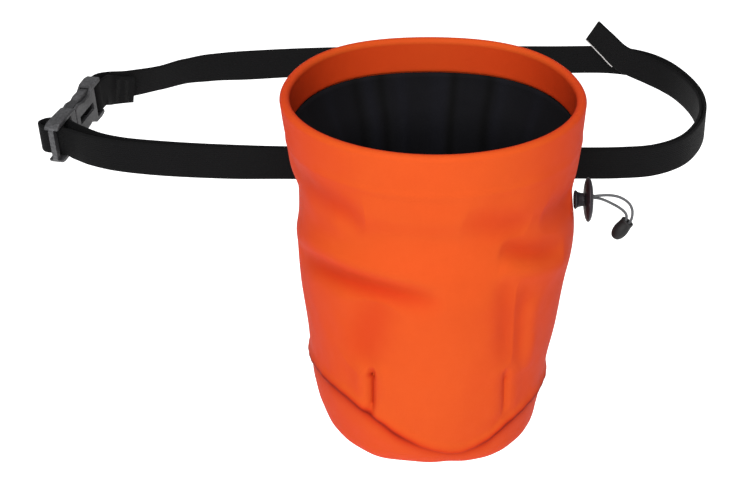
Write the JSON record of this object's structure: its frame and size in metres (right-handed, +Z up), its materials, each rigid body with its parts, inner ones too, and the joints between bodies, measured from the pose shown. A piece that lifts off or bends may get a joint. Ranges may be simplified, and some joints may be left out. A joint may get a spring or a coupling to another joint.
{
  "type": "climbing chalk bag on a waist belt",
  "caption": "Soft round chalk bag with a stiff flared rim, dark lining, darted rounded base, webbing waist belt, side-release buckle and drawcord toggle.",
  "frame": {"origin": "middle of the belt loop, at half the height of the webbing, where the wearer's waist sits", "axes": "+X across the wearer towards the drawcord side, +Y from the bag towards the wearer, +Z up"},
  "size_m": [0.319, 0.2454, 0.167],
  "materials": {
    "shell_cloth": "plain-woven orange cloth, matt with a soft sheen",
    "lining_cloth": "near-black brushed cloth",
    "webbing": "black ribbed polyester webbing",
    "label_cloth": "smooth woven black tape, bare",
    "buckle_plastic": "fine-grained moulded dark grey plastic",
    "toggle_plastic": "smooth moulded near-black plastic",
    "cord": "thin round braided cord"
  },
  "bodies": {
    "root": {"shell_body": "shell_cloth", "base_panel": "shell_cloth", "lining": "lining_cloth", "belt_keeper": "webbing", "belt_webbing": "webbing", "tail_label": "label_cloth", "buckle_socket": "buckle_plastic", "buckle_fork": "buckle_plastic", "cord_eyelet": "toggle_plastic", "cord_lock": "toggle_plastic", "drawcord": "cord", "cord_end": "toggle_plastic"}
  },
  "joints": []
}
